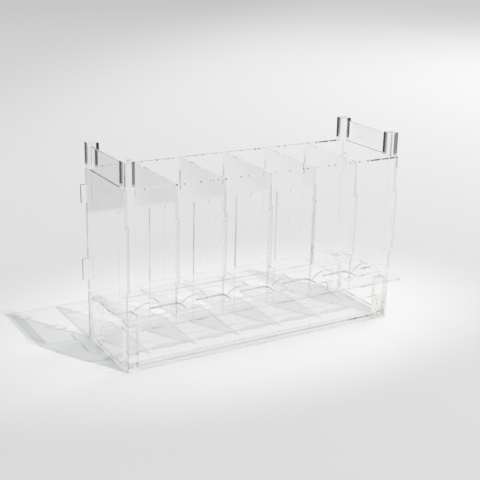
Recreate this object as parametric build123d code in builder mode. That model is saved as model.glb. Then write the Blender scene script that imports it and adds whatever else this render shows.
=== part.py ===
from build123d import *
import os

# Booster pack dispenser: six open columns between clear sheets, millimetres, +Z up,
# origin at the middle of the footprint on the table, front towards -Y

# Sheets and columns
sheet = 3.0                     # thickness of every flat sheet
column_pitch = 72.0             # one pack width and its clearance and one divider
column_count = 6
body_depth = 132.0              # one pack length and its clearance and the back sheet
panel_top = 253.5               # top edge of side panels, dividers, front and back
lip_reach = 25.0                # how far the shelf stands out in front of the columns
ear_reach = 8.0                 # how far the lip stands out past each side panel
front_y = -(body_depth - lip_reach) / 2
back_y = front_y + body_depth
half_width = (column_count * column_pitch + sheet) / 2
inner_half_width = half_width - sheet
sheet_centres = [(k - column_count / 2) * column_pitch for k in range(column_count + 1)]
column_centres = [x + column_pitch / 2 for x in sheet_centres[:-1]]

# Square rods at the corners
post_side = 15.0
foot_half_span = inner_half_width - post_side   # inner faces of the feet
foot_top = 63.0
post_top = 289.5                # the posts stand on the top edges of the panels
plate_bottom = 230.0
plate_top = 285.0

# Shelf that the packs lie on
shelf_top = 71.0
shelf_bottom = shelf_top - sheet
lip_corner = 7.0
opening_half_width = 24.5       # hand openings, centred under the dividers
opening_front = 14.0            # measured back from the front plane
opening_back = 40.0
opening_corner = 6.0
shelf_tab_length = 20.0
shelf_tab_centres = [front_y + 62.0, front_y + 104.0]

# Round hump under the front of each stack
riser_radius = 30.5
riser_top = 90.0
riser_centre = riser_top - riser_radius
riser_front = opening_front - sheet - 1.0       # just in front of the hand openings
riser_tab_width = 16.0

# Hook tabs that carry the front panel
hook_bottom = 113.0
hook_top = 207.0
hook_rise = 6.0                 # part of the hook that stands up in front of the panel
hook_chamfer = 3.0
hook_play = 0.2                 # behind the hook's head
slot_play = 0.3                 # each side of a hook in its slot
panel_lift = 6.5                # travel of the front panel before the slots meet the hooks
front_panel_bottom = 102.5       # leaves the height of one pack above the risers
neck_top = hook_top - hook_rise
head_back = front_y - sheet - hook_play

# Back panel
window_half_width = 24.0
window_top = 187.0
window_bottom = 50.5
window_corner = 6.0
window_outer = sheet_centres[-2] + window_half_width
relief_height = 16.5
relief_corner = 5.0
rear_tab_low = 205.0
rear_tab_high = 235.0
key_ranges = [(90.0, 122.0), (204.0, 230.0)]
key_half_width = 9.0

# Base
skirt_top = 38.0
base_bottom = 5.0
base_top = base_bottom + sheet
base_tab_length = 24.0
base_tab_centres = [front_y + 45.0, front_y + 87.0]

os.makedirs("parts", exist_ok=True)


def block(a0, a1, b0, b1, mode=Mode.ADD):
    with Locations(((a0 + a1) / 2, (b0 + b1) / 2)):
        Rectangle(a1 - a0, b1 - b0, mode=mode)


def rounded_block(a0, a1, b0, b1, radius, mode=Mode.ADD):
    with Locations(((a0 + a1) / 2, (b0 + b1) / 2)):
        RectangleRounded(a1 - a0, b1 - b0, radius, mode=mode)


def save(solid, name):
    solid.label = name
    export_step(solid, "parts/" + name + ".step")


# Side profile of the hook that every upright sheet carries on its front edge
def hook_profile():
    head_front = head_back - sheet
    block(head_back, front_y, hook_bottom, neck_top)
    Polygon(
        (head_back, hook_bottom),
        (head_back, hook_top),
        (head_front, hook_top),
        (head_front, hook_bottom + hook_chamfer),
        (head_front + hook_chamfer, hook_bottom),
        align=None,
    )


# Side panels stand on the table and take the tabs of the shelf and the base
for side_name, x in (("left", sheet_centres[0]), ("right", sheet_centres[-1])):
    with BuildPart() as side_panel:
        with BuildSketch(Plane.YZ.offset(x - sheet / 2)):
            block(front_y, back_y, 0, panel_top)
            hook_profile()
            for y in shelf_tab_centres:
                block(y - shelf_tab_length / 2, y + shelf_tab_length / 2,
                      shelf_bottom, shelf_top, Mode.SUBTRACT)
            for y in base_tab_centres:
                block(y - base_tab_length / 2, y + base_tab_length / 2,
                      base_bottom, base_top, Mode.SUBTRACT)
            for low, high in key_ranges:
                block(back_y - sheet, back_y, low, high, Mode.SUBTRACT)
        extrude(amount=sheet)
    save(side_panel.part, side_name + "_side_panel")

# Dividers stand on the shelf with two tabs through it and one through the back panel
for number, x in enumerate(sheet_centres[1:-1], start=1):
    with BuildPart() as divider:
        with BuildSketch(Plane.YZ.offset(x - sheet / 2)):
            block(front_y, back_y - sheet, shelf_top, panel_top)
            block(back_y - sheet, back_y, shelf_top, window_top)
            block(back_y - sheet, back_y, rear_tab_low, rear_tab_high)
            hook_profile()
            for y in shelf_tab_centres:
                block(y - shelf_tab_length / 2, y + shelf_tab_length / 2,
                      shelf_bottom, shelf_top)
        extrude(amount=sheet)
    save(divider.part, "divider_" + str(number))

# Front panel hangs on the hooks by its seven slots
with BuildPart() as front_panel:
    with BuildSketch(Plane.XZ.offset(-front_y)):
        block(-half_width, half_width, front_panel_bottom, panel_top)
        for x in sheet_centres:
            block(x - sheet / 2 - slot_play, x + sheet / 2 + slot_play,
                  hook_bottom - panel_lift, neck_top, Mode.SUBTRACT)
    extrude(amount=sheet)
save(front_panel.part, "front_panel")

# Back panel: hanging tongues behind the columns, a lower rail and two legs
with BuildPart() as back_panel:
    with BuildSketch(Plane.XZ.offset(-back_y)):
        block(-inner_half_width, inner_half_width, 0, panel_top)
        for x in sheet_centres[1:-1]:
            rounded_block(x - window_half_width, x + window_half_width,
                          window_bottom, window_top, window_corner, Mode.SUBTRACT)
            block(x - sheet / 2, x + sheet / 2, rear_tab_low, rear_tab_high, Mode.SUBTRACT)
        rounded_block(-window_outer, window_outer, window_bottom, shelf_top,
                      window_corner, Mode.SUBTRACT)
        rounded_block(-foot_half_span, foot_half_span, -relief_height, relief_height,
                      relief_corner, Mode.SUBTRACT)
        for low, high in key_ranges:
            for x in (sheet_centres[0], sheet_centres[-1]):
                block(x - key_half_width, x + key_half_width, low, high, Mode.SUBTRACT)
    extrude(amount=sheet)
save(back_panel.part, "back_panel")

# Keys that lock the back panel's ends into the side panels
for side_name, x in (("left", sheet_centres[0]), ("right", sheet_centres[-1])):
    for level_name, (low, high) in zip(("lower", "upper"), key_ranges):
        with BuildPart() as corner_key:
            with BuildSketch(Plane.XZ.offset(-back_y)):
                block(x - key_half_width, x + key_half_width, low, high)
            extrude(amount=sheet)
        save(corner_key.part, side_name + "_" + level_name + "_corner_key")

# Shelf with a lip in front, hand openings under the dividers and slots for all tabs
with BuildPart() as pack_shelf:
    with BuildSketch(Plane.XY.offset(shelf_bottom)):
        rounded_block(-half_width - ear_reach, half_width + ear_reach,
                      front_y - lip_reach, front_y + lip_corner, lip_corner)
        block(-half_width - ear_reach, half_width + ear_reach,
              front_y, front_y + lip_corner, Mode.SUBTRACT)
        block(-inner_half_width, inner_half_width, front_y, back_y - sheet)
        block(-window_outer, window_outer, back_y - sheet, back_y)
        for y in shelf_tab_centres:
            block(-half_width, half_width,
                  y - shelf_tab_length / 2, y + shelf_tab_length / 2)
        for x in sheet_centres:
            rounded_block(x - opening_half_width, x + opening_half_width,
                          front_y + opening_front, front_y + opening_back,
                          opening_corner, Mode.SUBTRACT)
        for x in sheet_centres[1:-1]:
            for y in shelf_tab_centres:
                block(x - sheet / 2, x + sheet / 2,
                      y - shelf_tab_length / 2, y + shelf_tab_length / 2, Mode.SUBTRACT)
        for x in column_centres:
            block(x - riser_tab_width / 2, x + riser_tab_width / 2,
                  front_y + riser_front, front_y + riser_front + sheet, Mode.SUBTRACT)
    extrude(amount=sheet)
save(pack_shelf.part, "pack_shelf")

# Humps lift the front of each stack to the gap under the front panel
for number, x in enumerate(column_centres, start=1):
    with BuildPart() as riser:
        with BuildSketch(Plane.XZ.offset(-(front_y + riser_front + sheet))):
            with Locations((x, riser_centre)):
                Circle(riser_radius)
            block(x - riser_radius, x + riser_radius,
                  riser_centre - riser_radius, shelf_top, Mode.SUBTRACT)
            block(x - riser_tab_width / 2, x + riser_tab_width / 2,
                  shelf_bottom, shelf_top)
        extrude(amount=sheet)
    save(riser.part, "pack_riser_" + str(number))

# Base plate closes the space under the shelf from below
with BuildPart() as base_plate:
    with BuildSketch(Plane.XY.offset(base_bottom)):
        block(-inner_half_width, inner_half_width, front_y + sheet, back_y - sheet)
        for y in base_tab_centres:
            block(-half_width, half_width,
                  y - base_tab_length / 2, y + base_tab_length / 2)
        for sign in (-1, 1):
            x = sign * (inner_half_width - post_side / 2)
            for y in (front_y + post_side / 2, back_y - sheet - post_side / 2):
                block(x - post_side / 2, x + post_side / 2,
                      y - post_side / 2, y + post_side / 2, Mode.SUBTRACT)
    extrude(amount=sheet)
save(base_plate.part, "base_plate")

# Skirt between the two front feet
with BuildPart() as front_skirt:
    with BuildSketch(Plane.XZ.offset(-(front_y + sheet))):
        block(-foot_half_span, foot_half_span, 0, skirt_top)
    extrude(amount=sheet)
save(front_skirt.part, "front_skirt")

# Square rods: feet under the shelf, inside the sheets at their corners
corners = (
    ("front_left", -1, front_y, front_y),
    ("front_right", 1, front_y, front_y),
    ("back_left", -1, back_y - sheet - post_side, back_y - post_side),
    ("back_right", 1, back_y - sheet - post_side, back_y - post_side),
)
for corner_name, sign, foot_y, post_y in corners:
    x = sign * (inner_half_width - post_side / 2)
    with BuildPart() as foot:
        with BuildSketch(Plane.XY):
            block(x - post_side / 2, x + post_side / 2, foot_y, foot_y + post_side)
        extrude(amount=foot_top)
    save(foot.part, corner_name + "_foot")

    # Stacking post, flush with the outer faces of the panels that it stands on
    x = sign * (half_width - post_side / 2)
    with BuildPart() as stacking_post:
        with BuildSketch(Plane.XY.offset(panel_top)):
            block(x - post_side / 2, x + post_side / 2, post_y, post_y + post_side)
        extrude(amount=post_top - panel_top)
    save(stacking_post.part, corner_name + "_stacking_post")

# Plates that hold the posts, on the inner faces of the side panels
for side_name, x in (("left", -inner_half_width), ("right", inner_half_width - sheet)):
    with BuildPart() as stacking_plate:
        with BuildSketch(Plane.YZ.offset(x)):
            block(front_y + post_side, back_y - post_side, plate_bottom, plate_top)
        extrude(amount=sheet)
    save(stacking_plate.part, side_name + "_stacking_plate")
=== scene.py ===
import math

import bmesh
import bpy
from bpy.props import FloatProperty, FloatVectorProperty, PointerProperty
from mathutils import Matrix, Vector


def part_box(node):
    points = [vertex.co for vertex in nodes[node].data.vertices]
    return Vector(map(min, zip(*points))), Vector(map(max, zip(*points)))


bl_info = {
    "name": "Booster Pack Dispenser",
    "version": (1, 0, 0),
    "blender": (4, 5, 0),
    "location": "View3D > Sidebar > Dispenser",
    "description": "Finishes for a clear six column counter dispenser, and its studio stage",
    "category": "Object",
}

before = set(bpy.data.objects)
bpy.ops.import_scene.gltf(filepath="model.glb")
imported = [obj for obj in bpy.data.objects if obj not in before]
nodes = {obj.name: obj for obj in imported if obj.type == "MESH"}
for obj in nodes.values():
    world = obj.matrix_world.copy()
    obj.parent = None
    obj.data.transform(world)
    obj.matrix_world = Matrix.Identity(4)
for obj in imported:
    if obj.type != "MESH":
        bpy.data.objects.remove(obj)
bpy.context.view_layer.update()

# Directions of a sheet's thickness
ALONG = (1.0, 0.0, 0.0)
DEEP = (0.0, 1.0, 0.0)
UPWARD = (0.0, 0.0, 1.0)

# Nodes that share a material
SIDE_PANELS = ["left_side_panel", "right_side_panel"]
PLATES = ["left_stacking_plate", "right_stacking_plate"]
DIVIDERS = [name for name in nodes if name.startswith("divider_")]
HUMPS = [name for name in nodes if name.startswith("pack_riser_")]
KEYS = [name for name in nodes if name.endswith("_corner_key")]
WARM_FOOT = "front_right_foot"
FEET = [name for name in nodes if name.endswith("_foot") and name != WARM_FOOT]
POSTS = [name for name in nodes if name.endswith("_stacking_post")]


# Metres taken off sharp edges, and off every face so that touching pieces don't share one
EDGE_EASING = 0.00015
AIR_GAP = 0.00003
# Corners nearer than this are one corner, and edges that turn by more than this are eased
WELD_DISTANCE = 0.000001
EASED_ANGLE = math.radians(40.0)

# Planes and heights read from the CAD pieces, in metres
MARGIN = 0.001
SHEET_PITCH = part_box("divider_2")[0][0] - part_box("divider_1")[0][0]
FRONT_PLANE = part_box("front_skirt")[0][1]
REAR_EDGE_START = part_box("back_panel")[1][1] - MARGIN
PANEL_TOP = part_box("left_side_panel")[1][2]
SKIRT_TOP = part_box("front_skirt")[1][2]
# Right side of the front left post; the top edges have no dark spots to the left of it
LEFT_POST_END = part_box("front_left_stacking_post")[1][0]
# Middle of the rear posts from front to back, how far in front of it the front posts stand,
# and the plane half way between the two rows
REAR_POST_Y = sum(corner[1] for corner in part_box("back_left_stacking_post")) / 2
POST_SPAN = REAR_POST_Y - sum(corner[1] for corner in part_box("front_left_stacking_post")) / 2
BETWEEN_POSTS_Y = REAR_POST_Y - POST_SPAN / 2

# Planes behind the front edges of the sheets, behind the hooks, and behind the part of a side
# panel that is pale in front
FRONT_EDGE_END = FRONT_PLANE + MARGIN
HOOK_END = FRONT_PLANE - MARGIN
PALE_FRONT_END = FRONT_PLANE + 0.01
# Heights above which there is only the top edge of a panel, and its rim that holds the dark spots
TOP_EDGE_HEIGHT = PANEL_TOP - 0.0005
SPOTTED_HEIGHT = PANEL_TOP - 0.0012
# Height above the front panel's lower edge, and height from which the sheets are polished
LOWER_EDGE_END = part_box("front_panel")[0][2] + 2 * MARGIN
POLISHED_HEIGHT = PANEL_TOP - 0.018
# Height from which a stacking post's sides, and not its lower end, mirror what leaves it, with a
# painted dark reflection
FREE_ROD_HEIGHT = PANEL_TOP + 0.0032

# A side is cut where its direction has less than this share of the sheet's thickness direction
CUT_LIMIT = 0.5
# Distance from the middle of an upright edge at which its rims start
RIM_START = 0.0008
# Depth of the edge tint, a painted dark reflection, on a left rim, on a side panel's rear edge,
# and where it is palest
LEFT_RIM_DEPTH = 0.35
REAR_EDGE_DEPTH = 0.8
PALE_DEPTH = 0.25
# Mirrorings after which light gets out of a sheet, and out of its polished top
PIPE_LIMIT = 6.5
TOP_PIPE_LIMIT = 2.5
# Half width of the painted dark reflection strip on a post's side, and how much paler that painted
# reflection is in the front posts
DARK_STRIP = 0.0031
FRONT_POST_PALENESS = 0.26
# How fast less lamp light passes a face as it comes to graze it
GRAZING_POWER = 3.0

# Lines that the laser leaves: their noise, and the bump that shows them
LINE_DETAIL = 3.0
LINE_ROUGHNESS = 0.65
LINE_BUMP = 0.06
LINE_HEIGHT = 0.0001
# Smears of handling: their noise, where it starts to show, and the roughness that it adds
SMEAR_SCALE = 9.0
SMEAR_DETAIL = 6.0
SMEAR_DISTORTION = 0.8
SMEAR_START = 0.52
SMEAR_END = 0.75
SMEAR_ROUGHNESS = 0.03
# How the tint of an edge comes and goes along its length
DEPTH_SCALE = 16.0
DEPTH_DETAIL = 2.0
DEPTH_START = 0.40
DEPTH_END = 0.60
# Dark spots: their noise, the level that makes one, and how much lower it is at the right end,
# where they paint a dark reflection of the stacking post
SPOT_SCALE = 260.0
SPOT_DETAIL = 1.0
SPOT_LEVEL = 0.675
REFLECTION_STEP = 0.24

# The floor's size, and the values of X less Y between which painted shade darkens the floor
FLOOR_RADIUS = 30.0
FLOOR_POINTS = 96
FLOOR_ROUGHNESS = 0.85
FLOOR_SPECULAR = 0.2
SHADE_START = -0.9
SHADE_END = -2.3
# Half widths of the soft borders of the painted dark reflection zone, which only the sheets'
# mirrored light shows
SIDE_SOFTNESS = 0.05
FRONT_SOFTNESS = 0.015
# Bounces that a ray may make in clear sheets, and faces that it may pass straight through
RAY_BOUNCES = 24
STRAIGHT_BOUNCES = 48
# Width of the camera's sensor in millimetres
SENSOR_WIDTH = 36.0


# Property groups

class AcrylicSettings(bpy.types.PropertyGroup):
    """Sizes and colours of the clear sheet and rod"""

    tint: FloatVectorProperty(
        name="Sheet tint",
        description="Light that passes one sheet",
        subtype="COLOR", size=3, min=0.0, max=1.0,
        default=(1.0, 1.0, 1.0),
    )
    # The edge tints are painted dark reflections in the cut edges: they darken the light that
    # passes an edge
    upright_edge_tint: FloatVectorProperty(
        name="Upright edge tint",
        description="Light that passes the cut edge of a side panel, divider or key",
        subtype="COLOR", size=3, min=0.0, max=1.0,
        default=(0.08, 0.085, 0.09),
    )
    panel_edge_tint: FloatVectorProperty(
        name="Panel edge tint",
        description="Light that passes the cut edge of the front panel, back panel or a plate",
        subtype="COLOR", size=3, min=0.0, max=1.0,
        default=(0.42, 0.44, 0.45),
    )
    level_edge_tint: FloatVectorProperty(
        name="Shelf edge tint",
        description="Light that passes the cut edge of the shelf, base, skirt or a hump",
        subtype="COLOR", size=3, min=0.0, max=1.0,
        default=(0.74, 0.755, 0.76),
    )
    warm_tint: FloatVectorProperty(
        name="Warm foot tint",
        description="Light that passes the front right foot, whose joint looks yellowed",
        subtype="COLOR", size=3, min=0.0, max=1.0,
        default=(0.93, 0.91, 0.85),
    )
    # Colour of the dark spots in the top edges; at the right end they are a painted dark
    # reflection of the stacking post
    edge_spot_tint: FloatVectorProperty(
        name="Edge spot tint",
        description="Light that passes a small nick in a panel's top edge",
        subtype="COLOR", size=3, min=0.0, max=1.0,
        default=(0.03, 0.03, 0.035),
    )
    edge_window: FloatProperty(
        name="Clear share of an edge",
        description="Share of a side panel, divider or front panel edge seen straight through",
        default=0.85, min=0.0, max=1.0, subtype="FACTOR",
    )
    level_window: FloatProperty(
        name="Clear share of a low edge",
        description="Share of a shelf, skirt or hump edge that is seen straight through",
        default=0.45, min=0.0, max=1.0, subtype="FACTOR",
    )
    edge_least: FloatProperty(
        name="Least edge depth",
        description="Share of the cut edge tint where an edge looks palest",
        default=0.25, min=0.0, max=1.0, subtype="FACTOR",
    )
    ior: FloatProperty(
        name="Index of refraction",
        description="Index of refraction of the acrylic",
        default=1.49, min=1.0, max=2.0,
    )
    bonded_window: FloatProperty(
        name="Clear share of a bonded face",
        description="Share of a plate's faces seen straight through where it is bonded to a panel",
        default=0.9, min=0.0, max=1.0, subtype="FACTOR",
    )
    face_roughness: FloatProperty(
        name="Face roughness",
        description="Roughness of the cast faces",
        default=0.006, min=0.0, max=1.0, subtype="FACTOR",
    )
    edge_roughness: FloatProperty(
        name="Cut edge roughness",
        description="Roughness of the laser cut edges",
        default=0.02, min=0.0, max=1.0, subtype="FACTOR",
    )
    line_pitch: FloatProperty(
        name="Cut line pitch",
        description="Distance between the fine lines that the laser leaves on an edge",
        default=0.0006, min=0.0001, max=0.01, unit="LENGTH", subtype="DISTANCE",
    )
    shadow_pass: FloatVectorProperty(
        name="Lamp light through a face",
        description="Lamp light that passes one face of a sheet",
        subtype="COLOR", size=3, min=0.0, max=1.0,
        default=(0.99, 0.99, 0.99),
    )
    side_pass: FloatVectorProperty(
        name="Lamp light along a side panel",
        description="Lamp light that passes one face of a side panel or plate it only grazes",
        subtype="COLOR", size=3, min=0.0, max=1.0,
        default=(0.57, 0.60, 0.585),
    )
    divider_pass: FloatVectorProperty(
        name="Lamp light along a divider",
        description="Lamp light that passes one face of a divider which it only grazes",
        subtype="COLOR", size=3, min=0.0, max=1.0,
        default=(0.74, 0.75, 0.75),
    )
    panel_pass: FloatVectorProperty(
        name="Lamp light along the other sheets",
        description="Lamp light that passes one face of any other sheet which it only grazes",
        subtype="COLOR", size=3, min=0.0, max=1.0,
        default=(0.74, 0.75, 0.75),
    )
    edge_pass: FloatVectorProperty(
        name="Lamp light through a cut edge",
        description="Lamp light that passes a cut edge",
        subtype="COLOR", size=3, min=0.0, max=1.0,
        default=(0.62, 0.63, 0.635),
    )
    rod_pass: FloatVectorProperty(
        name="Lamp light through a rod",
        description="Lamp light that passes one side of a rod",
        subtype="COLOR", size=3, min=0.0, max=1.0,
        default=(0.88, 0.885, 0.885),
    )
    # Painted dark reflection: the colour of a stacking post where light its own sides mirrored
    # once leaves it
    mirrored_tint: FloatVectorProperty(
        name="Mirrored light in a rod",
        description="Light that leaves a stacking post after its own sides have mirrored it once",
        subtype="COLOR", size=3, min=0.0, max=1.0,
        default=(0.0, 0.0, 0.0),
    )


class StageSettings(bpy.types.PropertyGroup):
    """Camera, lamps and floor"""

    # The floor colours and radii below paint a pool of light round the dispenser and shade away
    # from it
    floor_colour: FloatVectorProperty(
        name="Floor colour",
        description="Colour of the pale floor",
        subtype="COLOR", size=3, min=0.0, max=1.0,
        default=(0.95, 0.95, 0.95),
    )
    far_floor_colour: FloatVectorProperty(
        name="Far floor colour",
        description="Colour of the floor away from the dispenser",
        subtype="COLOR", size=3, min=0.0, max=1.0,
        default=(0.72, 0.72, 0.725),
    )
    shaded_floor_colour: FloatVectorProperty(
        name="Shaded floor colour",
        description="Colour of the floor far behind on the left",
        subtype="COLOR", size=3, min=0.0, max=1.0,
        default=(0.63, 0.63, 0.635),
    )
    near_radius: FloatProperty(
        name="Near floor radius",
        description="Distance to which the floor keeps its palest colour",
        default=0.14, min=0.0, max=10.0, unit="LENGTH", subtype="DISTANCE",
    )
    far_radius: FloatProperty(
        name="Far floor radius",
        description="Distance from which the floor has its far colour",
        default=0.46, min=0.0, max=10.0, unit="LENGTH", subtype="DISTANCE",
    )
    near_shape: FloatVectorProperty(
        name="Near floor shape",
        description="Factors on the distances along, behind and in front of the dispenser",
        size=3, default=(0.83, 1.05, 1.60), min=0.1, max=10.0,
    )
    # Painted dark reflection: the floor takes this colour only in light mirrored once, left of and
    # behind a corner, and in front of a line
    painted_reflection_colour: FloatVectorProperty(
        name="Painted dark reflection",
        description="Colour of the floor where it looks dark in reflections",
        subtype="COLOR", size=3, min=0.0, max=1.0,
        default=(0.32, 0.32, 0.32),
    )
    dark_corner: FloatVectorProperty(
        name="Painted dark reflection corner",
        description="Point from which mirrored floor looks dark towards the left and the back",
        size=2, subtype="TRANSLATION", unit="LENGTH",
        default=(-0.42, 0.66),
    )
    dark_slant: FloatProperty(
        name="Painted dark reflection slant",
        description="How far the dark zone's right side runs to the left for each metre back",
        default=0.35, min=0.0, max=2.0,
    )
    dark_reflection_front: FloatProperty(
        name="Dark reflection front",
        description="Place along Y in front of which mirrored floor looks dark",
        default=-0.90, subtype="DISTANCE", unit="LENGTH",
    )
    backdrop_colour: FloatVectorProperty(
        name="Backdrop colour",
        description="Colour behind the far end of the floor",
        subtype="COLOR", size=3, min=0.0, max=1.0,
        default=(0.80, 0.80, 0.80),
    )
    ambient: FloatProperty(
        name="Soft light",
        description="Strength of the soft light from all round",
        default=0.36, min=0.0, max=2.0,
    )
    key_strength: FloatProperty(
        name="Key lamp strength",
        description="Strength of the far key lamp",
        default=1.80, min=0.0, max=20.0,
    )
    key_angle: FloatProperty(
        name="Key lamp width",
        description="Angle that the key lamp covers as the dispenser sees it",
        default=math.radians(0.7), subtype="ANGLE", unit="ROTATION",
    )
    key_place: FloatVectorProperty(
        name="Key lamp place",
        description="Where the key lamp stands",
        size=3, subtype="TRANSLATION", unit="LENGTH",
        default=(1.0, -1.84, 3.41),
    )
    side_power: FloatProperty(
        name="Side lamp power",
        description="Power of the large lamp at the side",
        default=55.0, min=0.0, max=1000.0, unit="POWER",
    )
    side_size: FloatProperty(
        name="Side lamp size",
        description="Side of the large square lamp",
        default=2.0, min=0.01, max=10.0, unit="LENGTH", subtype="DISTANCE",
    )
    side_place: FloatVectorProperty(
        name="Side lamp place",
        description="Where the large lamp stands",
        size=3, subtype="TRANSLATION", unit="LENGTH",
        default=(3.0, 1.2, 2.6),
    )
    camera_place: FloatVectorProperty(
        name="Camera place",
        description="Where the camera stands",
        size=3, subtype="TRANSLATION", unit="LENGTH",
        default=(-0.7108, -1.1781, 0.5946),
    )
    camera_yaw: FloatProperty(
        name="Camera yaw",
        description="Turn of the camera to its right",
        subtype="ANGLE", unit="ROTATION", default=math.radians(30.577),
    )
    camera_pitch: FloatProperty(
        name="Camera pitch",
        description="Angle by which the camera looks down",
        subtype="ANGLE", unit="ROTATION", default=math.radians(18.289),
    )
    camera_roll: FloatProperty(
        name="Camera roll",
        description="Turn of the camera about its own line of sight",
        subtype="ANGLE", unit="ROTATION", default=math.radians(1.383),
    )
    lens: FloatProperty(
        name="Lens",
        description="Focal length in millimetres, on the sensor that SENSOR_WIDTH gives",
        default=75.27, min=10.0, max=300.0,
    )


# Shader node groups

def new_group(name, inputs, outputs):
    """An empty shader node group with named inputs and outputs"""
    group = bpy.data.node_groups.new(name, "ShaderNodeTree")
    for socket_name, kind, default in inputs:
        socket = group.interface.new_socket(socket_name, in_out="INPUT", socket_type=kind)
        socket.default_value = default
    for socket_name, kind in outputs:
        group.interface.new_socket(socket_name, in_out="OUTPUT", socket_type=kind)
    start = group.nodes.new("NodeGroupInput")
    end = group.nodes.new("NodeGroupOutput")
    return group, start, end


def add_math(tree, operation, *values):
    """A Math node whose inputs are sockets or numbers; gives its output socket"""
    node = tree.nodes.new("ShaderNodeMath")
    node.operation = operation
    for index, value in enumerate(values):
        if isinstance(value, (int, float)):
            node.inputs[index].default_value = value
        else:
            tree.links.new(value, node.inputs[index])
    return node.outputs[0]


def add_product(tree, first, *others):
    """Socket with all the factors multiplied"""
    for other in others:
        first = add_math(tree, "MULTIPLY", first, other)
    return first


def add_inverse(tree, share):
    """Socket with what is left of 1"""
    return add_math(tree, "SUBTRACT", 1.0, share)


def add_least(tree, share, least):
    """Socket that goes from least to 1 as share goes from 0 to 1"""
    return add_math(tree, "MULTIPLY_ADD", share, 1.0 - least, least)


def add_mirrored_once(tree, path):
    """Socket that is 1 for light that has been mirrored exactly once"""
    return add_math(tree, "COMPARE", path.outputs["Glossy Depth"], 1.0, 0.1)


def add_point(tree):
    """Node whose outputs are the place on the piece along X, Y and Z, which moves with it"""
    place = tree.nodes.new("ShaderNodeTexCoord")
    point = tree.nodes.new("ShaderNodeSeparateXYZ")
    tree.links.new(place.outputs["Object"], point.inputs["Vector"])
    return point


def mix_colours(tree, share, first, second):
    """Socket that goes from first to second with share; each is a socket or three numbers"""
    mix = tree.nodes.new("ShaderNodeMix")
    mix.data_type = "RGBA"
    tree.links.new(share, mix.inputs[0])
    for index, colour in ((6, first), (7, second)):
        if isinstance(colour, bpy.types.NodeSocket):
            tree.links.new(colour, mix.inputs[index])
        else:
            mix.inputs[index].default_value = (*colour, 1.0)
    return mix.outputs[2]


def soft_step(tree, value, start, end):
    """Socket that goes smoothly from 0 at start to 1 at end, which may be the lower one"""
    step = tree.nodes.new("ShaderNodeMapRange")
    step.interpolation_type = "SMOOTHSTEP"
    step.inputs["From Min"].default_value = min(start, end)
    step.inputs["From Max"].default_value = max(start, end)
    if end < start:
        step.inputs["To Min"].default_value = 1.0
        step.inputs["To Max"].default_value = 0.0
    tree.links.new(value, step.inputs["Value"])
    return step.outputs["Result"]


def add_cut_mask(tree, direction):
    """Socket that is 1 on the cut sides of a sheet; direction is a vector or a socket"""
    geometry = tree.nodes.new("ShaderNodeNewGeometry")
    dot = tree.nodes.new("ShaderNodeVectorMath")
    dot.operation = "DOT_PRODUCT"
    tree.links.new(geometry.outputs["True Normal"], dot.inputs[0])
    if isinstance(direction, tuple):
        dot.inputs[1].default_value = direction
    else:
        tree.links.new(direction, dot.inputs[1])
    size = add_math(tree, "ABSOLUTE", dot.outputs["Value"])
    return add_math(tree, "LESS_THAN", size, CUT_LIMIT)


def build_cut_edge_group():
    """Mask of the narrow cut sides of a sheet, from the direction of its thickness"""
    group, start, end = new_group(
        "Cut edge mask",
        [("Thickness Direction", "NodeSocketVector", (1.0, 0.0, 0.0))],
        [("Mask", "NodeSocketFloat")],
    )
    mask = add_cut_mask(group, start.outputs["Thickness Direction"])
    group.links.new(mask, end.inputs["Mask"])
    return group


def build_cut_line_group():
    """Height of the fine lines that a laser leaves straight across a cut edge"""
    group, start, end = new_group(
        "Laser cut lines",
        [
            ("Across", "NodeSocketVector", (0.0, 1.0, 1.0)),
            ("Line Pitch", "NodeSocketFloat", 0.0006),
            ("Mask", "NodeSocketFloat", 1.0),
        ],
        [("Height", "NodeSocketFloat")],
    )
    place = group.nodes.new("ShaderNodeTexCoord")
    flat = group.nodes.new("ShaderNodeVectorMath")
    flat.operation = "MULTIPLY"
    group.links.new(place.outputs["Object"], flat.inputs[0])
    group.links.new(start.outputs["Across"], flat.inputs[1])
    noise = group.nodes.new("ShaderNodeTexNoise")
    noise.inputs["Detail"].default_value = LINE_DETAIL
    noise.inputs["Roughness"].default_value = LINE_ROUGHNESS
    scale = add_math(group, "DIVIDE", 1.0, start.outputs["Line Pitch"])
    group.links.new(flat.outputs["Vector"], noise.inputs["Vector"])
    group.links.new(scale, noise.inputs["Scale"])
    height = add_product(group, noise.outputs["Fac"], start.outputs["Mask"])
    group.links.new(height, end.inputs["Height"])
    return group


def build_handling_group():
    """Roughness of a cast face with faint smears of handling, and of its cut edges"""
    group, start, end = new_group(
        "Handled surface",
        [
            ("Face Roughness", "NodeSocketFloat", 0.006),
            ("Edge Roughness", "NodeSocketFloat", 0.1),
            ("Mask", "NodeSocketFloat", 0.0),
        ],
        [("Roughness", "NodeSocketFloat")],
    )
    place = group.nodes.new("ShaderNodeTexCoord")
    smear = group.nodes.new("ShaderNodeTexNoise")
    smear.inputs["Scale"].default_value = SMEAR_SCALE
    smear.inputs["Detail"].default_value = SMEAR_DETAIL
    smear.inputs["Distortion"].default_value = SMEAR_DISTORTION
    group.links.new(place.outputs["Object"], smear.inputs["Vector"])
    spread = group.nodes.new("ShaderNodeMapRange")
    spread.inputs["From Min"].default_value = SMEAR_START
    spread.inputs["From Max"].default_value = SMEAR_END
    spread.inputs["To Min"].default_value = 0.0
    spread.inputs["To Max"].default_value = SMEAR_ROUGHNESS
    group.links.new(smear.outputs["Fac"], spread.inputs["Value"])
    face = add_math(group, "ADD", spread.outputs["Result"], start.outputs["Face Roughness"])
    mix = group.nodes.new("ShaderNodeMix")
    mix.data_type = "FLOAT"
    group.links.new(start.outputs["Mask"], mix.inputs[0])
    group.links.new(face, mix.inputs[2])
    group.links.new(start.outputs["Edge Roughness"], mix.inputs[3])
    group.links.new(mix.outputs[0], end.inputs["Roughness"])
    return group


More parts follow.
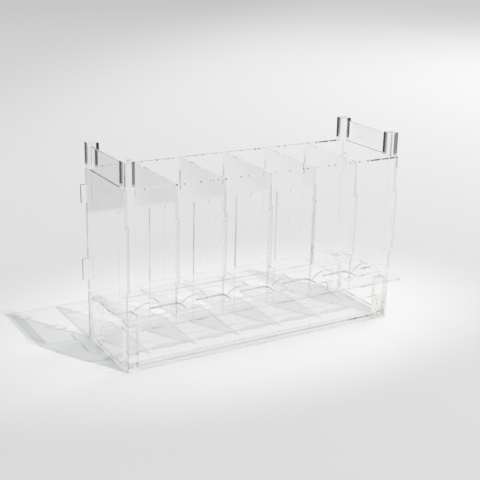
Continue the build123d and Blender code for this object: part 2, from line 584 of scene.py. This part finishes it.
def build_edge_depth_group():
    """Mask of a cut edge's painted dark reflection, which comes and goes along its length as what
    it mirrors changes
    """
    group, start, end = new_group(
        "Edge depth",
        [
            ("Mask", "NodeSocketFloat", 0.0),
            ("Least", "NodeSocketFloat", 0.3),
        ],
        [("Mask", "NodeSocketFloat")],
    )
    place = group.nodes.new("ShaderNodeTexCoord")
    noise = group.nodes.new("ShaderNodeTexNoise")
    noise.inputs["Scale"].default_value = DEPTH_SCALE
    noise.inputs["Detail"].default_value = DEPTH_DETAIL
    group.links.new(place.outputs["Object"], noise.inputs["Vector"])
    spread = group.nodes.new("ShaderNodeMapRange")
    spread.inputs["From Min"].default_value = DEPTH_START
    spread.inputs["From Max"].default_value = DEPTH_END
    group.links.new(start.outputs["Least"], spread.inputs["To Min"])
    group.links.new(noise.outputs["Fac"], spread.inputs["Value"])
    mask = add_product(group, spread.outputs["Result"], start.outputs["Mask"])
    group.links.new(mask, end.inputs["Mask"])
    return group


def build_edge_spot_group():
    """Mask of small dark spots scattered along the top edge of a panel, more at the right end as a
    painted dark reflection of the stacking post
    """
    group, start, end = new_group(
        "Edge dark spots",
        [
            ("Mask", "NodeSocketFloat", 0.0),
            ("Painted Reflection From", "NodeSocketFloat", 0.165),
        ],
        [("Mask", "NodeSocketFloat")],
    )
    point = add_point(group)
    noise = group.nodes.new("ShaderNodeTexNoise")
    noise.noise_dimensions = "1D"
    noise.inputs["Scale"].default_value = SPOT_SCALE
    noise.inputs["Detail"].default_value = SPOT_DETAIL
    group.links.new(point.outputs["X"], noise.inputs["W"])
    # More and longer spots at the right end, a painted dark reflection of the right stacking post
    post_reflection = add_math(group, "GREATER_THAN", point.outputs["X"], start.outputs["Painted Reflection From"])
    level = add_math(group, "MULTIPLY_ADD", post_reflection, -REFLECTION_STEP, SPOT_LEVEL)
    spot = add_math(group, "GREATER_THAN", noise.outputs["Fac"], level)
    mask = add_product(group, spot, start.outputs["Mask"])
    group.links.new(mask, end.inputs["Mask"])
    return group


def shared_group(name, builder):
    """The named node group, built on first use"""
    return bpy.data.node_groups.get(name) or builder()


def place_group(tree, group):
    """A group node for that group in the tree"""
    node = tree.nodes.new("ShaderNodeGroup")
    node.node_tree = group
    return node


# Acrylic materials

def add_rims(tree, point):
    """Sockets that are 1 on an upright sheet's right rim, less on its left, and 1 on its top"""
    offset = add_math(tree, "WRAP", point.outputs["X"], SHEET_PITCH / 2, -SHEET_PITCH / 2)
    left_rim = add_math(tree, "LESS_THAN", offset, -RIM_START)
    rim = add_math(
        tree, "MAXIMUM",
        add_math(tree, "GREATER_THAN", offset, RIM_START),
        add_product(tree, left_rim, LEFT_RIM_DEPTH),
    )
    top = add_math(tree, "GREATER_THAN", point.outputs["Z"], TOP_EDGE_HEIGHT)
    return rim, top


def add_edge_depth(tree, point, mask, rims, options):
    """Socket with the share of the edge tint, a painted dark reflection, that shows on the cut
    sides
    """
    if "warm below" in options:
        return add_product(
            tree, mask, add_math(tree, "LESS_THAN", point.outputs["Z"], SKIRT_TOP)
        )
    depth = place_group(tree, shared_group("Edge depth", build_edge_depth_group))
    depth.inputs["Least"].default_value = bpy.context.scene.dispenser_acrylic.edge_least
    tree.links.new(mask, depth.inputs["Mask"])
    deep = depth.outputs["Mask"]
    if "polished top" in options:
        low = add_math(tree, "LESS_THAN", point.outputs["Z"], POLISHED_HEIGHT)
        deep = add_product(tree, deep, low)
    if not rims:
        return deep
    # The painted dark reflection is darkest along an upright edge's right rim, and on the top edge
    # all over
    rim, top = rims
    line = add_least(tree, add_math(tree, "MAXIMUM", rim, top), PALE_DEPTH)
    # It is paler on the hooks, and on the side panels on the whole front edge
    pale_until = PALE_FRONT_END if "pale front" in options else HOOK_END
    rear = add_math(tree, "GREATER_THAN", point.outputs["Y"], pale_until)
    deep = add_product(tree, deep, line, add_least(tree, rear, PALE_DEPTH))
    if "pale front" in options:
        back = add_math(tree, "GREATER_THAN", point.outputs["Y"], REAR_EDGE_START)
        strong = add_math(tree, "MAXIMUM", add_product(tree, back, REAR_EDGE_DEPTH), top)
        deep = add_math(tree, "MAXIMUM", deep, add_product(tree, strong, mask))
    return deep


def add_edge_spots(tree, point, colour):
    """The colour with small dark spots in the top edge, right of the front left post, denser at
    the right end as a painted dark reflection
    """
    high = add_math(tree, "GREATER_THAN", point.outputs["Z"], SPOTTED_HEIGHT)
    beyond_post = add_math(tree, "GREATER_THAN", point.outputs["X"], LEFT_POST_END)
    spot_mask = place_group(tree, shared_group("Edge dark spots", build_edge_spot_group))
    tree.links.new(add_product(tree, high, beyond_post), spot_mask.inputs["Mask"])
    edge_spot_tint = bpy.context.scene.dispenser_acrylic.edge_spot_tint
    return mix_colours(tree, spot_mask.outputs["Mask"], colour, edge_spot_tint)


def add_painted_dark_reflections(tree, path, geometry, point, mask, colour):
    """The colour with a painted dark reflection where light that a post's own sides have mirrored
    once leaves it
    """
    free = add_math(tree, "GREATER_THAN", point.outputs["Z"], FREE_ROD_HEIGHT)
    leaving = add_product(
        tree, add_mirrored_once(tree, path), geometry.outputs["Backfacing"], mask, free
    )
    # On the faces towards the sides only a middle strip gets the painted dark reflection
    turned = tree.nodes.new("ShaderNodeSeparateXYZ")
    tree.links.new(geometry.outputs["True Normal"], turned.inputs["Vector"])
    size = add_math(tree, "ABSOLUTE", turned.outputs["X"])
    sideways = add_math(tree, "GREATER_THAN", size, CUT_LIMIT)
    offset = add_math(
        tree, "WRAP", point.outputs["Y"], REAR_POST_Y + POST_SPAN / 2, BETWEEN_POSTS_Y
    )
    offset = add_math(tree, "ABSOLUTE", add_math(tree, "SUBTRACT", offset, REAR_POST_Y))
    outside = add_math(tree, "GREATER_THAN", offset, DARK_STRIP)
    pale = add_product(tree, sideways, outside)
    # In the front posts the painted dark reflection is paler on the faces towards the front and
    # the back
    front_row = add_math(tree, "LESS_THAN", point.outputs["Y"], BETWEEN_POSTS_Y)
    paler = add_product(tree, front_row, add_inverse(tree, sideways), FRONT_POST_PALENESS)
    leaving = add_product(tree, leaving, add_inverse(tree, pale), add_inverse(tree, paler))
    mirrored_tint = bpy.context.scene.dispenser_acrylic.mirrored_tint
    return mix_colours(tree, leaving, colour, mirrored_tint)


def add_surface(tree, clear, mask, thickness, edge_roughness):
    """Roughness with smears of handling, and the fine lines of the cut edges"""
    settings = bpy.context.scene.dispenser_acrylic
    handled = place_group(tree, shared_group("Handled surface", build_handling_group))
    handled.inputs["Face Roughness"].default_value = settings.face_roughness
    handled.inputs["Edge Roughness"].default_value = edge_roughness
    tree.links.new(mask, handled.inputs["Mask"])
    tree.links.new(handled.outputs["Roughness"], clear.inputs["Roughness"])

    lines = place_group(tree, shared_group("Laser cut lines", build_cut_line_group))
    lines.inputs["Across"].default_value = [1.0 - value for value in thickness]
    lines.inputs["Line Pitch"].default_value = settings.line_pitch
    tree.links.new(mask, lines.inputs["Mask"])
    bump = tree.nodes.new("ShaderNodeBump")
    bump.inputs["Strength"].default_value = LINE_BUMP
    bump.inputs["Distance"].default_value = LINE_HEIGHT
    tree.links.new(lines.outputs["Height"], bump.inputs["Height"])
    tree.links.new(bump.outputs["Normal"], clear.inputs["Normal"])


def add_straight_light(tree, cut, indirect, lamp_pass, edge_pass):
    """Shader for light that goes straight through, less of it at a graze or a cut edge"""
    facing = tree.nodes.new("ShaderNodeLayerWeight")
    facing.inputs["Blend"].default_value = 0.5
    grazing = add_math(tree, "POWER", facing.outputs["Facing"], GRAZING_POWER)
    shadow_pass = bpy.context.scene.dispenser_acrylic.shadow_pass
    passed = mix_colours(tree, add_product(tree, grazing, indirect), shadow_pass, lamp_pass)
    passed = mix_colours(tree, add_product(tree, cut, indirect), passed, edge_pass)
    through = tree.nodes.new("ShaderNodeBsdfTransparent")
    tree.links.new(passed, through.inputs["Color"])
    return through


def add_piped_light(tree, path, point, options):
    """Socket that is 1 for light piped along inside a sheet, which gets out in the end"""
    piped = add_math(tree, "GREATER_THAN", path.outputs["Glossy Depth"], PIPE_LIMIT)
    if "polished top" in options:
        high = add_math(tree, "GREATER_THAN", point.outputs["Z"], POLISHED_HEIGHT)
        early = add_math(tree, "GREATER_THAN", path.outputs["Glossy Depth"], TOP_PIPE_LIMIT)
        piped = add_math(tree, "MAXIMUM", piped, add_product(tree, early, high))
    return piped


def add_window(tree, point, cut, thickness, rims, options):
    """Socket that is 1 on the parts of a piece that are partly seen straight through"""
    if "bonded" in options:
        return add_math(tree, "LESS_THAN", point.outputs["Z"], PANEL_TOP)
    opened = cut
    if thickness != DEEP:
        front = add_math(tree, "LESS_THAN", point.outputs["Y"], FRONT_EDGE_END)
        opened = add_product(tree, opened, front)
    if "clear slots" in options:
        above = add_math(tree, "GREATER_THAN", point.outputs["Z"], LOWER_EDGE_END)
        below = add_math(tree, "LESS_THAN", point.outputs["Z"], POLISHED_HEIGHT)
        opened = add_product(tree, opened, above, below)
    if rims:
        between = add_inverse(tree, add_math(tree, "MAXIMUM", *rims))
        opened = add_product(tree, opened, between)
    return opened


def add_straight_out(tree, path, geometry):
    """Socket that is 1 where a ray that came in straight leaves, as nothing has bent it"""
    bends = add_math(tree, "MODULO", path.outputs["Transmission Depth"], 2.0)
    straight = add_math(tree, "LESS_THAN", bends, 0.5)
    return add_product(tree, straight, geometry.outputs["Backfacing"])


def build_acrylic(name, thickness, edge_tint, lamp_pass, *options, window=0.0):
    """Clear acrylic whose cut sides are the faces away from the thickness direction

    window is the share of a cut edge that is seen straight through. The options are
    "rod" for a rod, with polished sides that lamp light passes more easily,
    "painted dark stripes" for painted dark reflections in its mirrored light, "warm below"
    for a foot whose tint is only below the skirt's top, "polished top" for a sheet with a
    clear top, "spotted top" for small dark spots in the top edge, "pale front" for an
    upright sheet whose painted edge reflection is palest in front, "clear slots" for a
    window in the slots and ends of a panel and not in its lower edge and top, and "bonded"
    for a plate whose faces are seen through where it is bonded to a panel.
    """
    settings = bpy.context.scene.dispenser_acrylic
    material = bpy.data.materials.new(name)
    material.use_nodes = True
    tree = material.node_tree
    tree.nodes.clear()
    out = tree.nodes.new("ShaderNodeOutputMaterial")
    clear = tree.nodes.new("ShaderNodeBsdfPrincipled")
    clear.inputs["Metallic"].default_value = 0.0
    clear.inputs["Transmission Weight"].default_value = 1.0
    clear.inputs["IOR"].default_value = settings.ior

    path = tree.nodes.new("ShaderNodeLightPath")
    geometry = tree.nodes.new("ShaderNodeNewGeometry")
    point = add_point(tree)
    edge = place_group(tree, shared_group("Cut edge mask", build_cut_edge_group))
    edge.inputs["Thickness Direction"].default_value = thickness
    mask = edge.outputs["Mask"]
    rims = add_rims(tree, point) if thickness == ALONG else ()

    deep = add_edge_depth(tree, point, mask, rims, options)
    colour = mix_colours(tree, deep, settings.tint, edge_tint)
    if "spotted top" in options:
        colour = add_edge_spots(tree, point, colour)
    if "painted dark stripes" in options:
        colour = add_painted_dark_reflections(tree, path, geometry, point, mask, colour)
    tree.links.new(colour, clear.inputs["Base Color"])
    polished = "rod" in options
    edge_roughness = settings.face_roughness if polished else settings.edge_roughness
    add_surface(tree, clear, mask, thickness, edge_roughness)

    # Rays from a lamp, and rays that nothing has mirrored yet
    lamp_ray = add_math(
        tree, "MAXIMUM", path.outputs["Is Shadow Ray"], path.outputs["Is Diffuse Ray"]
    )
    unmirrored = add_math(tree, "LESS_THAN", path.outputs["Glossy Depth"], 0.5)
    direct = add_product(tree, unmirrored, add_inverse(tree, lamp_ray))
    cut = add_cut_mask(tree, thickness)
    edge_pass = settings.rod_pass if polished else settings.edge_pass
    through = add_straight_light(tree, cut, add_inverse(tree, direct), lamp_pass, edge_pass)
    share = add_math(tree, "MAXIMUM", lamp_ray, add_piped_light(tree, path, point, options))
    if window:
        opened = add_window(tree, point, cut, thickness, rims, options)
        opened = add_product(tree, direct, window, opened)
        share = add_math(tree, "MAXIMUM", share, opened)
        share = add_math(tree, "MAXIMUM", share, add_straight_out(tree, path, geometry))
    mix = tree.nodes.new("ShaderNodeMixShader")
    tree.links.new(share, mix.inputs["Fac"])
    tree.links.new(clear.outputs["BSDF"], mix.inputs[1])
    tree.links.new(through.outputs["BSDF"], mix.inputs[2])
    tree.links.new(mix.outputs["Shader"], out.inputs["Surface"])
    return material


def finish_nodes(names, material):
    """Puts the material on those CAD nodes, softens their edges and parts touching faces"""
    for name in names:
        ease_edges(nodes[name])
        slots = nodes[name].material_slots
        if not slots:
            nodes[name].data.materials.append(material)
        for slot in slots:
            slot.link = "OBJECT"
            slot.material = material


def ease_edges(node):
    """Softened edges, and a hair of air where two pieces touch, as modifiers"""
    weld = node.modifiers.new("weld", "WELD")
    weld.merge_threshold = WELD_DISTANCE
    bevel = node.modifiers.new("eased_edges", "BEVEL")
    bevel.width = EDGE_EASING
    bevel.segments = 1
    bevel.limit_method = "ANGLE"
    bevel.angle_limit = EASED_ANGLE
    shrink = node.modifiers.new("air_gap", "DISPLACE")
    shrink.direction = "NORMAL"
    shrink.mid_level = 0.0
    shrink.strength = -AIR_GAP


# Operators, one for each group of pieces

class FinishSidePanels(bpy.types.Operator):
    """Clear cast sheet on the side panels and the plates between the posts"""

    bl_idname = "dispenser.finish_side_panels"
    bl_label = "Side panels"

    def execute(self, context):
        settings = context.scene.dispenser_acrylic
        material = build_acrylic(
            "side_panel_acrylic", ALONG, settings.upright_edge_tint, settings.side_pass,
            "pale front", window=settings.edge_window,
        )
        finish_nodes(SIDE_PANELS, material)
        material = build_acrylic(
            "plate_acrylic", ALONG, settings.panel_edge_tint, settings.side_pass,
            "bonded", window=settings.bonded_window,
        )
        finish_nodes(PLATES, material)
        return {"FINISHED"}


class FinishDividers(bpy.types.Operator):
    """Clear cast sheet on the five dividers"""

    bl_idname = "dispenser.finish_dividers"
    bl_label = "Dividers"

    def execute(self, context):
        settings = context.scene.dispenser_acrylic
        material = build_acrylic(
            "divider_acrylic", ALONG, settings.upright_edge_tint, settings.divider_pass,
            "polished top", window=settings.edge_window,
        )
        finish_nodes(DIVIDERS, material)
        return {"FINISHED"}


class FinishFrontPanel(bpy.types.Operator):
    """Clear cast sheet on the front panel that lifts off"""

    bl_idname = "dispenser.finish_front_panel"
    bl_label = "Front panel"

    def execute(self, context):
        settings = context.scene.dispenser_acrylic
        material = build_acrylic(
            "front_panel_acrylic", DEEP, settings.panel_edge_tint, settings.panel_pass,
            "polished top", "spotted top", "clear slots", window=settings.edge_window,
        )
        finish_nodes(["front_panel"], material)
        return {"FINISHED"}


class FinishBackPanel(bpy.types.Operator):
    """Clear cast sheet on the back panel and its four corner keys"""

    bl_idname = "dispenser.finish_back_panel"
    bl_label = "Back panel and keys"

    def execute(self, context):
        settings = context.scene.dispenser_acrylic
        material = build_acrylic(
            "back_panel_acrylic", DEEP, settings.panel_edge_tint, settings.panel_pass,
            "spotted top",
        )
        finish_nodes(["back_panel"], material)
        material = build_acrylic(
            "key_acrylic", DEEP, settings.upright_edge_tint, settings.panel_pass
        )
        finish_nodes(KEYS, material)
        return {"FINISHED"}


class FinishShelf(bpy.types.Operator):
    """Clear cast sheet on the shelf and on the humps that stand on it"""

    bl_idname = "dispenser.finish_shelf"
    bl_label = "Shelf and humps"

    def execute(self, context):
        settings = context.scene.dispenser_acrylic
        shades = (settings.level_edge_tint, settings.panel_pass)
        window = settings.level_window
        material = build_acrylic("shelf_acrylic", UPWARD, *shades, window=window)
        finish_nodes(["pack_shelf"], material)
        material = build_acrylic("hump_acrylic", DEEP, *shades, window=window)
        finish_nodes(HUMPS, material)
        return {"FINISHED"}


class FinishBase(bpy.types.Operator):
    """Clear cast sheet on the base plate and the skirt"""

    bl_idname = "dispenser.finish_base"
    bl_label = "Base and skirt"

    def execute(self, context):
        settings = context.scene.dispenser_acrylic
        shades = (settings.level_edge_tint, settings.panel_pass)
        finish_nodes(["base_plate"], build_acrylic("base_acrylic", UPWARD, *shades))
        window = settings.level_window
        material = build_acrylic("skirt_acrylic", DEEP, *shades, window=window)
        finish_nodes(["front_skirt"], material)
        return {"FINISHED"}


class FinishRods(bpy.types.Operator):
    """Clear polished square rod on the feet and the stacking posts"""

    bl_idname = "dispenser.finish_rods"
    bl_label = "Feet and posts"

    def execute(self, context):
        settings = context.scene.dispenser_acrylic
        clear = (settings.tint, settings.rod_pass)
        warm = (settings.warm_tint, settings.rod_pass)
        finish_nodes(FEET, build_acrylic("foot_acrylic", UPWARD, *clear, "rod"))
        material = build_acrylic("warm_foot_acrylic", UPWARD, *warm, "rod", "warm below")
        finish_nodes([WARM_FOOT], material)
        finish_nodes(POSTS, build_acrylic("post_acrylic", UPWARD, *clear, "rod", "painted dark stripes"))
        return {"FINISHED"}


class BuildStage(bpy.types.Operator):
    """Pale floor, soft light and the camera"""

    bl_idname = "dispenser.build_stage"
    bl_label = "Stage"

    def execute(self, context):
        settings = context.scene.dispenser_stage
        build_floor(settings)
        build_world(settings)
        build_lamps(settings)
        build_camera(settings)
        context.scene.view_settings.view_transform = "Standard"
        light_paths = context.scene.cycles
        light_paths.max_bounces = RAY_BOUNCES
        light_paths.transmission_bounces = RAY_BOUNCES
        light_paths.glossy_bounces = RAY_BOUNCES
        light_paths.transparent_max_bounces = STRAIGHT_BOUNCES
        return {"FINISHED"}


def add_painted_floor_light(tree, point, settings):
    """Floor colour: a painted pool of light near the dispenser, painted shade away from it, most
    far behind on the left
    """
    along, behind, before = settings.near_shape
    side = add_product(tree, point.outputs["X"], along)
    depth = add_math(
        tree, "MAXIMUM",
        add_product(tree, point.outputs["Y"], behind),
        add_product(tree, point.outputs["Y"], -before),
    )
    squares = add_math(
        tree, "ADD", add_product(tree, side, side), add_product(tree, depth, depth)
    )
    distance = add_math(tree, "SQRT", squares)
    far = soft_step(tree, distance, settings.near_radius, settings.far_radius)
    ground = mix_colours(tree, far, settings.floor_colour, settings.far_floor_colour)
    # Painted shade that darkens the floor far behind on the left
    leftward = add_math(tree, "SUBTRACT", point.outputs["X"], point.outputs["Y"])
    shaded = soft_step(tree, leftward, SHADE_START, SHADE_END)
    return mix_colours(tree, shaded, ground, settings.shaded_floor_colour)


def add_painted_dark_reflection(tree, point, settings):
    """Socket that is 1 where the floor's colour is painted dark, a painted dark reflection that
    only light mirrored once shows
    """
    corner_x, corner_y = settings.dark_corner
    slide = add_product(tree, point.outputs["Y"], settings.dark_slant)
    slanted = add_math(tree, "ADD", point.outputs["X"], slide)
    middle = corner_x + settings.dark_slant * corner_y
    left = soft_step(tree, slanted, middle + SIDE_SOFTNESS, middle - SIDE_SOFTNESS)
    beyond = soft_step(
        tree, point.outputs["Y"], corner_y - FRONT_SOFTNESS, corner_y + FRONT_SOFTNESS
    )
    front = add_math(tree, "LESS_THAN", point.outputs["Y"], settings.dark_reflection_front)
    dark = add_math(tree, "MAXIMUM", add_product(tree, left, beyond), front)
    path = tree.nodes.new("ShaderNodeLightPath")
    return add_product(tree, add_mirrored_once(tree, path), dark)


def build_floor(settings):
    """A round pale floor, far wider than the view"""
    mesh = bpy.data.meshes.new("studio_floor")
    work = bmesh.new()
    bmesh.ops.create_circle(work, cap_ends=True, segments=FLOOR_POINTS, radius=FLOOR_RADIUS)
    work.to_mesh(mesh)
    work.free()
    floor = bpy.data.objects.new("studio_floor", mesh)
    bpy.context.scene.collection.objects.link(floor)
    material = bpy.data.materials.new("pale_floor")
    material.use_nodes = True
    tree = material.node_tree
    surface = tree.nodes["Principled BSDF"]
    surface.inputs["Roughness"].default_value = FLOOR_ROUGHNESS
    surface.inputs["Specular IOR Level"].default_value = FLOOR_SPECULAR
    point = add_point(tree)
    ground = add_painted_floor_light(tree, point, settings)
    dark = add_painted_dark_reflection(tree, point, settings)
    # Painted dark reflection: a darker floor colour where light mirrored once sees the floor
    colour = mix_colours(tree, dark, ground, settings.painted_reflection_colour)
    tree.links.new(colour, surface.inputs["Base Color"])
    mesh.materials.append(material)


def build_world(settings):
    """Soft light from all round, seen as a pale backdrop"""
    world = bpy.data.worlds.new("soft_studio")
    bpy.context.scene.world = world
    world.use_nodes = True
    tree = world.node_tree
    tree.nodes.clear()
    out = tree.nodes.new("ShaderNodeOutputWorld")
    light = tree.nodes.new("ShaderNodeBackground")
    light.inputs["Color"].default_value = (1.0, 1.0, 1.0, 1.0)
    light.inputs["Strength"].default_value = settings.ambient
    seen = tree.nodes.new("ShaderNodeBackground")
    seen.inputs["Strength"].default_value = 1.0
    seen.inputs["Color"].default_value = (*settings.backdrop_colour, 1.0)
    path = tree.nodes.new("ShaderNodeLightPath")
    looks = add_math(
        tree, "MAXIMUM", path.outputs["Is Camera Ray"], path.outputs["Is Glossy Ray"]
    )
    looks = add_math(tree, "MAXIMUM", looks, path.outputs["Is Transmission Ray"])
    mix = tree.nodes.new("ShaderNodeMixShader")
    tree.links.new(looks, mix.inputs["Fac"])
    tree.links.new(light.outputs["Background"], mix.inputs[1])
    tree.links.new(seen.outputs["Background"], mix.inputs[2])
    tree.links.new(mix.outputs["Shader"], out.inputs["Surface"])


def build_lamps(settings):
    """A key lamp in front to the right, and a large soft lamp behind to the right"""
    lamp = bpy.data.lights.new("key_lamp", "SUN")
    lamp.energy = settings.key_strength
    lamp.angle = settings.key_angle
    key = bpy.data.objects.new("key_lamp", lamp)
    key.location = settings.key_place
    key.rotation_mode = "QUATERNION"
    key.rotation_quaternion = Vector(settings.key_place).to_track_quat("Z", "Y")
    key.visible_glossy = False
    key.visible_transmission = False
    bpy.context.scene.collection.objects.link(key)

    lamp = bpy.data.lights.new("side_lamp", "AREA")
    lamp.energy = settings.side_power
    lamp.size = settings.side_size
    side = bpy.data.objects.new("side_lamp", lamp)
    side.location = settings.side_place
    side.rotation_mode = "QUATERNION"
    side.rotation_quaternion = Vector(settings.side_place).to_track_quat("Z", "Y")
    side.visible_glossy = False
    side.visible_transmission = False
    bpy.context.scene.collection.objects.link(side)


def build_camera(settings):
    """The camera, at the photograph's viewing angle"""
    data = bpy.data.cameras.new("camera")
    data.lens = settings.lens
    data.sensor_width = SENSOR_WIDTH
    data.clip_start = 0.05
    data.clip_end = 100.0
    camera = bpy.data.objects.new("camera", data)
    yaw, pitch, roll = settings.camera_yaw, settings.camera_pitch, settings.camera_roll
    right = Vector((math.cos(yaw), -math.sin(yaw), 0.0))
    forward = Vector((
        math.sin(yaw) * math.cos(pitch), math.cos(yaw) * math.cos(pitch), -math.sin(pitch)
    ))
    up = right.cross(forward)
    rolled_right = right * math.cos(roll) + up * math.sin(roll)
    rolled_up = up * math.cos(roll) - right * math.sin(roll)
    turn = Matrix((rolled_right, rolled_up, -forward)).transposed()
    camera.matrix_world = Matrix.Translation(settings.camera_place) @ turn.to_4x4()
    bpy.context.scene.collection.objects.link(camera)
    bpy.context.scene.camera = camera


class DispenserPanel(bpy.types.Panel):
    """Lists the groups of pieces and the stage"""

    bl_idname = "VIEW3D_PT_dispenser"
    bl_label = "Dispenser"
    bl_space_type = "VIEW_3D"
    bl_region_type = "UI"
    bl_category = "Dispenser"

    def draw(self, context):
        layout = self.layout
        for settings in (context.scene.dispenser_acrylic, context.scene.dispenser_stage):
            box = layout.box()
            for key in settings.__annotations__:
                box.prop(settings, key)
        for operator in OPERATORS:
            layout.operator(operator.bl_idname)


OPERATORS = (
    FinishSidePanels,
    FinishDividers,
    FinishFrontPanel,
    FinishBackPanel,
    FinishShelf,
    FinishBase,
    FinishRods,
    BuildStage,
)
CLASSES = (AcrylicSettings, StageSettings, *OPERATORS, DispenserPanel)


def register():
    for cls in CLASSES:
        bpy.utils.register_class(cls)
    bpy.types.Scene.dispenser_acrylic = PointerProperty(type=AcrylicSettings)
    bpy.types.Scene.dispenser_stage = PointerProperty(type=StageSettings)


def unregister():
    del bpy.types.Scene.dispenser_stage
    del bpy.types.Scene.dispenser_acrylic
    for cls in reversed(CLASSES):
        bpy.utils.unregister_class(cls)


def main():
    register()
    bpy.ops.dispenser.finish_side_panels()
    bpy.ops.dispenser.finish_dividers()
    bpy.ops.dispenser.finish_front_panel()
    bpy.ops.dispenser.finish_back_panel()
    bpy.ops.dispenser.finish_shelf()
    bpy.ops.dispenser.finish_base()
    bpy.ops.dispenser.finish_rods()
    bpy.ops.dispenser.build_stage()


if __name__ == "__main__":
    main()
